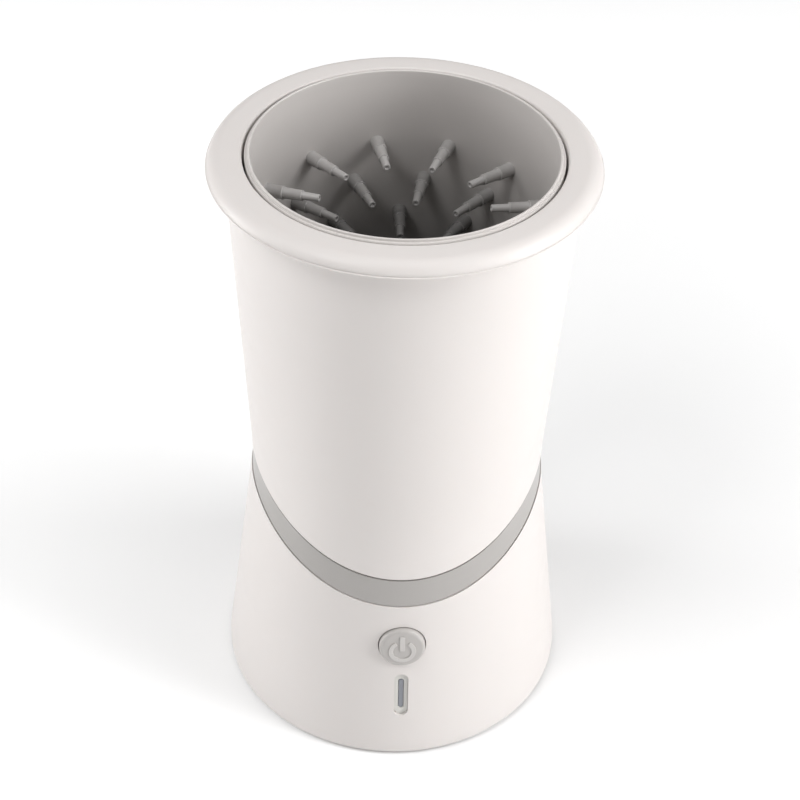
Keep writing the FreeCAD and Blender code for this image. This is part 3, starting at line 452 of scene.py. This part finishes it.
# each is made of a name, a colour, a roughness, the grain's scale and the grain's depth
MATERIALS = {
    "white_shell": moulded("white shell", (0.665, 0.63, 0.611), 0.42, 1500, 0.05, soft=0.05,
                           vary=0.008),
    "cover_plastic": moulded("bottom cover", (0.72, 0.70, 0.68), 0.5, 1200, 0.12, vary=0.02),
    "grey_trim": moulded("grey trim", (0.36, 0.343, 0.329), 0.33, 1500, 0.06, coat=0.25, vary=0.02),
    # painted highlight: the icon is the button's grey made lighter, standing in for the light on its
    # raised face
    "icon_grey": moulded("icon grey painted highlight", (0.52, 0.50, 0.483), 0.4, 1500, 0.05, vary=0.02),
    "button_grey": moulded("button grey", (0.435, 0.415, 0.4), 0.4, 1500, 0.07, soft=0.03,
                           vary=0.02),
    "drum_grey": moulded("drum", (0.60, 0.57, 0.55), 0.38, 1300, 0.06, vary=0.02),
    # painted shade: the drum's inside darkens with depth, down to 0.35 of its colour at the bottom
    "drum_inside": moulded("drum inside painted shade", (0.60, 0.57, 0.55), 0.38, 1300, 0.06, vary=0.02, painted_shade_share=0.35),
    # painted shade: the bristles darken down the cup, to 0.12 of their colour at the bottom
    "bristle_silicone": moulded("bristle silicone painted shade", (0.53, 0.512, 0.50), 0.33, 1800, 0.06, vary=0.04,
                                 painted_shade_share=0.12),
    "flap_silicone": moulded("flap silicone", (0.74, 0.72, 0.71), 0.55, 1600, 0.08, soft=0.1,
                             vary=0.02),
    "panel_grey": moulded("panel grey", (0.62, 0.61, 0.58), 0.45, 1500, 0.06, vary=0.02),
    "strip_lens": moulded("strip lens", (0.20, 0.212, 0.24), 0.2, 900, 0.01, coat=0.6, vary=0.03),
    "black_rubber": moulded("black rubber", (0.025, 0.025, 0.026), 0.7, 1400, 0.2, vary=0.1),
    "inner_plastic": moulded("inner plastic", (0.60, 0.58, 0.55), 0.5, 1100, 0.1),
    "black_plastic": moulded("black plastic", (0.02, 0.02, 0.022), 0.4, 1300, 0.1, vary=0.1),
    "acetal": moulded("acetal", (0.76, 0.74, 0.68), 0.35, 1200, 0.05, soft=0.1),
    "steel": moulded("drawn steel", (0.48, 0.48, 0.49), 0.28, 700, 0.1, metal=1.0,
                     stretch=(1, 1, 0.05)),
    "screw_steel": moulded("screw steel", (0.42, 0.42, 0.43), 0.35, 900, 0.1, metal=1.0),
    "sintered_bronze": moulded("sintered bronze", (0.45, 0.27, 0.12), 0.45, 2200, 0.25, metal=1.0,
                               vary=0.12),
    "pinion_brass": moulded("pinion brass", (0.66, 0.46, 0.17), 0.28, 900, 0.06, metal=1.0),
    "copper_winding": moulded("copper winding", (0.52, 0.21, 0.09), 0.3, 500, 0.5, metal=1.0,
                              stretch=(1, 1, 8)),
    "magnet": moulded("ferrite magnet", (0.03, 0.03, 0.032), 0.55, 1500, 0.2, vary=0.15),
    "nickel_tab": moulded("nickel tab", (0.55, 0.53, 0.48), 0.3, 900, 0.06, metal=1.0),
    "circuit_board": moulded("circuit board", (0.012, 0.10, 0.045), 0.35, 1000, 0.12, coat=0.3,
                             vary=0.2),
    "cell_wrap": moulded("cell wrap", (0.02, 0.13, 0.34), 0.22, 700, 0.05, coat=0.4),
    "led_white": moulded("led", (0.88, 0.85, 0.62), 0.2, 900, 0.02, coat=0.3),
    "wire_jacket": moulded("wire jacket", (0.35, 0.015, 0.012), 0.4, 1400, 0.08, soft=0.05),
}


def dress_frame():
    """Every carried-over CAD node gets its slot's material and smooth shading by angle."""
    for part in frame["record"]["subparts"]:
        node = frame["nodes"][part["node"]]
        node.data.materials.clear()
        node.data.materials.append(MATERIALS[part["material_slot"]])
        node.data.polygons.foreach_set("use_smooth", [True] * len(node.data.polygons))
        node.data.set_sharp_from_angle(angle=math.radians(30))


def stands_for(piece, node, body):
    """The piece takes a CAD node's place and moves with its body."""
    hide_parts(node)
    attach(piece, body)


# ---- shells ------------------------------------------------------------------------------------

def steps(low, high, count):
    """count + 1 even heights from low to high."""
    return [low + (high - low) * n / count for n in range(count + 1)]


def upper_shell():
    """The tall shell above the wave; its rows are closest together at the wave."""
    sheet = Sheet()
    fractions = [(n / 44) ** 1.15 for n in range(45)]

    def rows(angle, depth):
        low = wave_height(angle, WAVE_GAP + SHADOW_GAP, depth)
        return [low + (SHELL_TOP - low) * fraction for fraction in fractions]

    sheet.grid(rows)
    piece = build_mesh("upper_shell_skin", *sheet.thick(0.0, SHELL_WALL), MATERIALS["white_shell"],
                       bevel=0.3)
    stands_for(piece, "upper_shell", "housing")


def trim_band():
    """The grey band, a step below the shells, with a tongue that goes behind the lower one."""
    sheet, tongue = Sheet(), Sheet()

    def rows(angle, depth):
        return steps(wave_height(angle, 0.6 * WAVE_GAP - BAND_HEIGHT, depth),
                     wave_height(angle, -WAVE_GAP - SHADOW_GAP, depth), 10)

    def tongue_rows(angle, depth):
        return steps(wave_height(angle, -BAND_HEIGHT - TONGUE_LOW, depth),
                     wave_height(angle, -TONGUE_HIGH, depth), 4)

    sheet.grid(rows)
    tongue.grid(tongue_rows)
    shape = merged(sheet.thick(BAND_RECESS, SHELL_WALL), tongue.thick(TONGUE_DEPTH, TONGUE_BACK))
    piece = build_mesh("trim_band_ring", *shape, MATERIALS["grey_trim"], bevel=0.25)
    stands_for(piece, "trim_band", "housing")


def circle_edge(radius):
    """A round hole, with a point for each of the border's angles."""
    def loop(turns):
        return [(radius * math.cos(turn), radius * math.sin(turn)) for turn in turns]
    return loop


def border_angles(border):
    """The angle of each border point round the border's middle, made square."""
    columns = [column for column, row in border]
    rows = [row for column, row in border]
    middle = ((min(columns) + max(columns)) / 2, (min(rows) + max(rows)) / 2)
    span = (max(columns) - min(columns), max(rows) - min(rows))
    return [math.atan2((row - middle[1]) / span[1], (column - middle[0]) / span[0])
            for column, row in border]


def pill_edge(width, length, centre_y):
    """A slot, long in Y: straight sides for the border's sides, half rounds for its ends."""
    def loop(turns):
        result = []
        radius, half = width / 2, (length - width) / 2
        for turn in turns:
            if abs(math.cos(turn)) > abs(math.sin(turn)):
                side = math.copysign(1, math.cos(turn))
                result.append((side * radius, centre_y + half * math.tan(turn) * side))
            else:
                up = math.copysign(1, math.sin(turn))
                sweep = math.atan2(up, math.cos(turn) / abs(math.sin(turn)))
                lean = (sweep - up * math.pi / 2) * 2
                result.append((-radius * math.sin(lean) * up,
                               centre_y + up * (half + radius * math.cos(lean))))
        return result
    return loop


def box_edge(width, height, corner, centre_y, mirror):
    """A rectangle with round corners; mirror is -1 where X runs against the turn angle."""
    def loop(turns):
        result = []
        for turn in turns:
            x, y = math.cos(turn), math.sin(turn)
            reach = 1 / max(abs(x), abs(y))
            x, y = x * reach * width / 2, y * reach * height / 2
            over_x, over_y = abs(x) - (width / 2 - corner), abs(y) - (height / 2 - corner)
            if over_x > 0 and over_y > 0:
                shrink = corner / max(math.hypot(over_x, over_y), corner * 1e-3)
                x = math.copysign(width / 2 - corner + over_x * shrink, x)
                y = math.copysign(height / 2 - corner + over_y * shrink, y)
            result.append((mirror * x, centre_y + y))
        return result
    return loop


def base_shell():
    """The flared lower shell with its round button hole, its window and the flap's recess."""
    window_low, window_high, button_high = 14.0, 36.0, 57.0
    levels = ([LOW, LOW + 0.5, BASE_EDGE - 1, BASE_EDGE]
              + steps(BASE_EDGE, window_low, 8)[1:] + steps(window_low, window_high, 18)[1:]
              + steps(window_high, button_high, 18)[1:])
    wave_rows = 14

    def rows(angle, depth):
        top = wave_height(angle, -BAND_HEIGHT - 0.6 * WAVE_GAP, depth)
        return levels + steps(levels[-1], top, wave_rows)[1:]

    low_row, high_row = levels.index(window_low), levels.index(window_high)
    reach = 14
    front = (COLUMNS - reach, COLUMNS + reach)
    back = (COLUMNS // 2 - reach, COLUMNS // 2 + reach)
    guide_hole = BUTTON_RADIUS + BUTTON_GAP
    holes = [
        Hole(front, (high_row, levels.index(button_high)), circle_edge(guide_hole), front_to_skin),
        Hole(front, (low_row, high_row), pill_edge(WINDOW_WIDTH, WINDOW_LENGTH, -WINDOW_DROP),
             front_to_skin),
        Hole(back, (low_row - 3, low_row + 11),
             box_edge(RECESS_WIDTH, RECESS_HEIGHT, 1.6, PORT_HEIGHT, -1), back_to_skin),
    ]
    sheet = Sheet()
    sheet.grid(rows, holes)
    guide = lathe([(guide_hole, -4.0), (9.6, -4.0), (9.6, -2.4), (guide_hole, -1.9)], 96, at_front)
    piece = build_mesh("base_shell_skin", *merged(sheet.thick(0.0, SHELL_WALL), guide),
                       MATERIALS["white_shell"], bevel=0.22)
    stands_for(piece, "base_shell", "housing")


def water_well():
    """The well's inside, its seal boss and the wide rolled rim, with the four screw bosses."""
    profile = fillet([
        (3.3, 88.0), (3.3, 84.2), (8.0, 84.2), (8.0, 79.0, 0.3), (12.0, 79.0, 0.4), (12.0, 85.8, 0.6),
        (43.2, 85.8, 3.0), (47.75, 192.5), (56.4, 192.5, 0.3), (56.4, 192.95, 0.15), (56.05, 193.1),
        (56.05, 193.6, 0.8), (54.9, 196.5, 4.9), (46.1, 196.5, 0.7), (41.5, 88.0, 3.0),
    ], steps=8)
    boss = [(1.55, 62.5), (4.0, 62.5), (4.0, 86.2), (1.55, 86.2)]
    bosses = [lathe(boss, 32, shifted(on_circle(BOSS_CIRCLE, 45 + 90 * number))) for number in range(4)]
    piece = build_mesh("water_well_rim", *merged(lathe(profile, COLUMNS), *bosses),
                       MATERIALS["white_shell"])
    stands_for(piece, "water_well", "housing")


def brush_drum():
    """The drum with its double lip. Its inside has a material of its own, with painted shade that darkens
    it with depth.
    """
    profile = fillet([
        (9.0, 90.0, 0.2), (40.65, 90.0, 1.5), (45.4, 195.8, 0.5), (45.15, 196.25, 0.2), (44.6, 196.2, 0.1),
        (44.5, HIGH, 0.34), (43.8, HIGH, 0.34), (43.75, 194.6), (39.05, 92.0, 2.0), (9.0, 92.0, 0.2),
    ], steps=6)
    piece = build_mesh("brush_drum_cup", *lathe(profile, COLUMNS), MATERIALS["drum_grey"])
    piece.data.materials.append(MATERIALS["drum_inside"])
    inside_slot = len(piece.data.materials) - 1
    # faces towards the axis and the floor below DEEP_HEIGHT take the inside material with its painted
    # shade
    for face in piece.data.polygons:
        outward = face.normal.x * face.center.x + face.normal.y * face.center.y
        faces_axis = outward < -1e-6
        on_floor = face.normal.z > 0.5 and face.center.z < DEEP_HEIGHT * MM
        if faces_axis or on_floor:
            face.material_index = inside_slot
    stands_for(piece, "brush_drum", "drum")


def bristles():
    """Rings of stepped fingers, with a soft bead at each step and a dimple in the tip."""
    finger = fillet([
        (0.0, -0.4), (2.35, -0.4), (2.1, 0.4), (2.02, 5.0), (2.1, 5.15, 0.1), (2.1, 5.5, 0.2),
        (1.7, 5.5, 0.1), (1.6, 11.0), (1.65, 11.15, 0.08), (1.65, 11.5, 0.15), (1.22, 11.5, 0.1),
        (1.1, 16.8, 0.2), (0.62, 16.8, 0.15), (0.45, 16.45, 0.1), (0.0, 16.45),
    ], closed=False, steps=3)
    lie = Matrix.Rotation(math.radians(-FINGER_LIE), 4, "Y")
    for row in range(ROWS):
        height = ROW_TOP - ROW_PITCH * row
        wall = DRUM_INSIDE - (DRUM_INSIDE_HEIGHT - height) * DRUM_LEAN
        shapes = []
        for number in range(FINGERS):
            degrees = ROW_START + ROW_TURN * row + 360 / FINGERS * number
            turn = Matrix.Rotation(math.radians(degrees), 4, "Z")
            place = turn @ Matrix.Translation((wall, 0, height)) @ lie
            shapes.append(lathe(finger, 28, lambda p, m=place: tuple(m @ Vector(p)), closed=False))
        piece = build_mesh("bristle_ring_%d" % (row + 1), *merged(*shapes), MATERIALS["bristle_silicone"],
                           angle=60)
        stands_for(piece, "bristle_row_%d" % (row + 1), "drum")


# ---- front and back details --------------------------------------------------------------------

def power_button():
    """The cap with its flange and stem, and the raised power symbol: an open ring and a bar."""
    cap = fillet([
        (0.0, -9.5), (1.7, -9.5, 0.2), (1.7, -5.1), (8.6, -5.1, 0.2), (8.6, -4.1, 0.2),
        (BUTTON_RADIUS, -4.1), (BUTTON_RADIUS, BUTTON_PROUD, 1.2), (0.0, BUTTON_PROUD),
    ], closed=False, steps=6)
    piece = build_mesh("power_button_cap", *lathe(cap, 128, at_front, closed=False),
                       MATERIALS["button_grey"])
    stands_for(piece, "power_button", "button")
    ring_outside, ring_inside, ring_drop, half_gap = 4.3, 2.9, 0.9, 33
    turns = [math.radians(90 + half_gap + (360 - 2 * half_gap) * n / 48) for n in range(49)]
    outer = [(ring_outside * math.cos(turn), ring_outside * math.sin(turn) - ring_drop)
             for turn in turns]
    inner = [(ring_inside * math.cos(turn), ring_inside * math.sin(turn) - ring_drop)
             for turn in reversed(turns)]
    bar = [(-0.8, -0.7), (0.8, -0.7), (0.8, 5.0), (-0.8, 5.0)]
    shapes = [raised(loop, BUTTON_PROUD - 0.1, BUTTON_PROUD + 0.3) for loop in (outer + inner, bar)]
    icon = build_mesh("power_button_icon", *merged(*shapes), MATERIALS["icon_grey"], bevel=0.12,
                      segments=3)
    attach(icon, "button")


def raised(loop, low, high):
    """A flat figure raised off the button's face."""
    return lofted([[(x, y, low) for x, y in loop], [(x, y, high) for x, y in loop]], at_front)


def tube_of(loops, place=same):
    """A closed ring through loops of equal length, whose last loop joins its first."""
    points, faces = lofted(loops, place)
    count = len(loops[0])
    last = (len(loops) - 1) * count
    faces = faces[:-2]
    faces += [[last + n, last + (n + 1) % count, (n + 1) % count, n] for n in range(count)]
    return points, faces


def indicator():
    """The grey panel behind the window, and the light strip in the panel's slot."""
    centre = -WINDOW_DROP
    outer_width, outer_length = WINDOW_WIDTH - 0.1, WINDOW_LENGTH - 0.1
    back, face = -SHELL_WALL - 1.7, -WINDOW_RECESS
    flange = (WINDOW_WIDTH + 2.2, WINDOW_LENGTH + 2.2)
    loops = [
        pill_loop(STRIP_WIDTH, STRIP_LENGTH, back, centre),
        pill_loop(*flange, back, centre),
        pill_loop(*flange, back + 1.5, centre),
        pill_loop(outer_width, outer_length, back + 1.5, centre),
        pill_loop(outer_width, outer_length, face, centre),
        pill_loop(STRIP_WIDTH + 0.5, STRIP_LENGTH + 0.5, face, centre),
        pill_loop(STRIP_WIDTH, STRIP_LENGTH, face - 0.25, centre),
    ]
    panel = build_mesh("indicator_panel_frame", *tube_of(loops, at_front), MATERIALS["panel_grey"],
                       bevel=0.1)
    stands_for(panel, "indicator_panel", "housing")
    strip = [pill_loop(STRIP_WIDTH - 0.1, STRIP_LENGTH - 0.1, height, centre)
             for height in (STRIP_BACK, -WINDOW_RECESS - 0.2)]
    strip.append(pill_loop(STRIP_WIDTH - 0.5, STRIP_LENGTH - 0.5, -WINDOW_RECESS, centre))
    lens = build_mesh("light_strip_lens", *lofted(strip, at_front), MATERIALS["strip_lens"], bevel=0.08)
    stands_for(lens, "light_strip", "housing")


def back_loop(outline, depth):
    """Points on the skin, or under it, of an outline round the charging port's centre."""
    return [skin_point(*back_to_skin(x, PORT_HEIGHT + y, depth), depth) for x, y in outline]


def port_cover():
    """The silicone flap follows the skin and has round corners, like its recess."""
    outline = rounded_box_loop(RECESS_WIDTH - 2 * FLAP_GAP, RECESS_HEIGHT - 2 * FLAP_GAP,
                               FLAP_CORNER)
    rings = (0.02, 0.25, 0.5, 0.75, 0.9, 1.0)

    def layer(depth, order):
        return [back_loop([(x * ring, y * ring) for x, y in outline], depth) for ring in order]

    loops = layer(FLAP_THICKNESS, rings) + layer(0.0, tuple(reversed(rings)))
    piece = build_mesh("port_cover_flap", *lofted(loops), MATERIALS["flap_silicone"], bevel=0.25)
    stands_for(piece, "port_cover", "port_flap")


def port_floor():
    """The recess floor behind the flap, with the opening for the plug."""
    outline = rounded_box_loop(RECESS_WIDTH + 2, RECESS_HEIGHT + 2, 2.0)
    lying = [(y, x) for x, y, _ in pill_loop(PLUG_HEIGHT, PLUG_WIDTH, 0.0)]
    # the swap of X and Y reverses the loop, so it is turned back and starts beside the outline
    slot = [lying[(LOOP // 4 - n) % LOOP] for n in range(LOOP)]
    loops = [back_loop(slot, PORT_FLOOR_BACK), back_loop(outline, PORT_FLOOR_BACK),
             back_loop(outline, RECESS_DEPTH), back_loop(slot, RECESS_DEPTH)]
    piece = build_mesh("port_recess_floor", *tube_of(loops), MATERIALS["white_shell"], bevel=0.15)
    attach(piece, "housing")


def feet_and_screws():
    """Four rubber feet in line with the front, and four screws between them."""
    foot = fillet([(0.0, 0.0), (5.0, 0.0, 0.5), (5.0, 2.2, 0.1), (0.0, 2.2)], closed=False)
    feet = [lathe(foot, 48, shifted(on_circle(FOOT_CIRCLE, 90 * number)), closed=False)
            for number in range(4)]
    piece = build_mesh("rubber_foot_set", *merged(*feet), MATERIALS["black_rubber"])
    stands_for(piece, "rubber_feet", "housing")
    screws = [cross_screw(on_circle(SCREW_CIRCLE, 45 + 90 * number)) for number in range(4)]
    piece = build_mesh("bottom_cover_screw_set", *merged(*screws), MATERIALS["screw_steel"], bevel=0.08)
    stands_for(piece, "bottom_cover_screws", "housing")


def cross_screw(centre):
    """A pan-head screw seen from below, with a cross recess."""
    arm, half_arm, head_radius, shank_share, tip = 1.3, 0.32, 2.5, 0.46, 12.0
    cross = []
    for quarter in range(4):
        spin = Matrix.Rotation(-math.pi / 2 * quarter, 2)
        for corner in ((half_arm, half_arm), (arm, half_arm), (arm, -half_arm)):
            cross.append(tuple(spin @ Vector(corner)))
    turns = [math.atan2(y, x) for x, y in cross]
    head = [(head_radius * math.cos(turn), head_radius * math.sin(turn)) for turn in turns]
    sections = ((cross, 1.0, LOW + 0.8), (cross, 1.0, LOW + 0.02), (head, 0.9, LOW + 0.02),
                (head, 1.0, LOW + 0.35), (head, 1.0, LOW + 1.2), (head, shank_share, LOW + 1.2),
                (head, shank_share, tip))
    loops = [[(x * share, y * share, height) for x, y in loop] for loop, share, height in sections]
    return lofted(loops, shifted(centre))


# ---- studio ------------------------------------------------------------------------------------

# name, turn from the front in degrees, rise in degrees, distance, width and height in metres, watts
LIGHTS = [
    ("right low", 65, 4, 1.0, 0.35, 0.6, 5.1),
    ("right high", 72, 36, 1.0, 0.5, 0.6, 5.9),
    ("left low", -100, 4, 1.0, 0.25, 0.6, 4.6),
    ("left high", -95, 36, 1.0, 0.5, 0.6, 1.9),
    ("high key", -50, 57, 1.1, 0.35, 0.35, 3.1),
    ("overhead", 0, 88, 1.0, 0.6, 0.6, 1.9),
]
WORLD_STRENGTH = 0.25
# painted light: the paper glows GLOW_NEAR near SHADOW_CENTRE, where the cup's shadow falls, rising to
# GLOW_FAR between GLOW_START and GLOW_END away
GLOW_NEAR, GLOW_FAR = 0.0, 0.24
GLOW_START, GLOW_END = 0.06, 0.36
SHADOW_CENTRE = (0.10, 0.07, 0.0)


def area_light(name, turn, rise, distance, width, height, watts):
    """A soft box aimed at the middle of the cup; turn 0 is the front, and it grows towards +X."""
    lamp = bpy.data.lights.new(name, "AREA")
    lamp.shape = "RECTANGLE"
    lamp.size, lamp.size_y = width, height
    lamp.energy = watts
    item = bpy.data.objects.new(name, lamp)
    turn, rise = math.radians(turn), math.radians(rise)
    away = Vector((math.sin(turn) * math.cos(rise), -math.cos(turn) * math.cos(rise), math.sin(rise)))
    item.location = Vector((0, 0, 0.1)) + away * distance
    item.rotation_euler = away.to_track_quat("Z", "Y").to_euler()
    bpy.context.scene.collection.objects.link(item)


def glow_by_distance(tree, shader):
    """Painted light: the paper glows, more the further it is from the cup's own shadow."""
    place = tree.nodes.new("ShaderNodeTexCoord")
    away = tree.nodes.new("ShaderNodeVectorMath")
    away.operation = "DISTANCE"
    away.inputs[1].default_value = SHADOW_CENTRE
    tree.links.new(place.outputs["Object"], away.inputs[0])
    glow = tree.nodes.new("ShaderNodeMapRange")
    glow.name = "glow"
    glow.interpolation_type = "SMOOTHSTEP"
    glow.inputs["From Min"].default_value = GLOW_START
    glow.inputs["From Max"].default_value = GLOW_END
    glow.inputs["To Min"].default_value = GLOW_NEAR
    glow.inputs["To Max"].default_value = GLOW_FAR
    tree.links.new(away.outputs["Value"], glow.inputs["Value"])
    tree.links.new(glow.outputs["Result"], shader.inputs["Emission Strength"])


def studio():
    """A sheet of pale paper with a painted glow, an even white surround and the soft boxes."""
    reach = 4.0
    mesh = bpy.data.meshes.new("studio floor")
    mesh.from_pydata([(-reach, -reach, 0), (reach, -reach, 0), (reach, reach, 0), (-reach, reach, 0)],
                     [], [(0, 1, 2, 3)])
    floor = bpy.data.objects.new("studio floor", mesh)
    bpy.context.scene.collection.objects.link(floor)
    paper = moulded("studio paper", (0.9, 0.9, 0.9), 0.9, 300, 0.02, vary=0.002)
    shader = paper.node_tree.nodes["Principled BSDF"]
    shader.inputs["Specular IOR Level"].default_value = 0.0
    shader.inputs["Emission Color"].default_value = (1, 1, 1, 1)
    glow_by_distance(paper.node_tree, shader)
    mesh.materials.append(paper)
    world = bpy.data.worlds.new("studio")
    world.use_nodes = True
    world.node_tree.nodes["Background"].inputs["Color"].default_value = (1, 1, 1, 1)
    world.node_tree.nodes["Background"].inputs["Strength"].default_value = WORLD_STRENGTH
    bpy.context.scene.world = world
    bpy.context.scene.view_settings.view_transform = "Standard"
    for light in LIGHTS:
        area_light(*light)


def camera():
    """Looks down at about 40 degrees and from a little to the left."""
    place = Vector((-0.02889, -0.43077, 0.46726))
    forward = Vector((0.05221, 0.76396, -0.64315)).normalized()
    right = forward.cross(Vector((0.01456, 0.64338, 0.76541))).normalized()
    upward = right.cross(forward)
    lens = bpy.data.cameras.new("camera")
    lens.lens = 80.65
    lens.sensor_width = 36.0
    item = bpy.data.objects.new("camera", lens)
    turn = Matrix((right, upward, -forward)).transposed().to_4x4()
    item.matrix_world = Matrix.Translation(place) @ turn
    bpy.context.scene.collection.objects.link(item)
    bpy.context.scene.camera = item


dress_frame()
upper_shell()
trim_band()
base_shell()
water_well()
brush_drum()
bristles()
power_button()
indicator()
port_cover()
port_floor()
feet_and_screws()
studio()
camera()
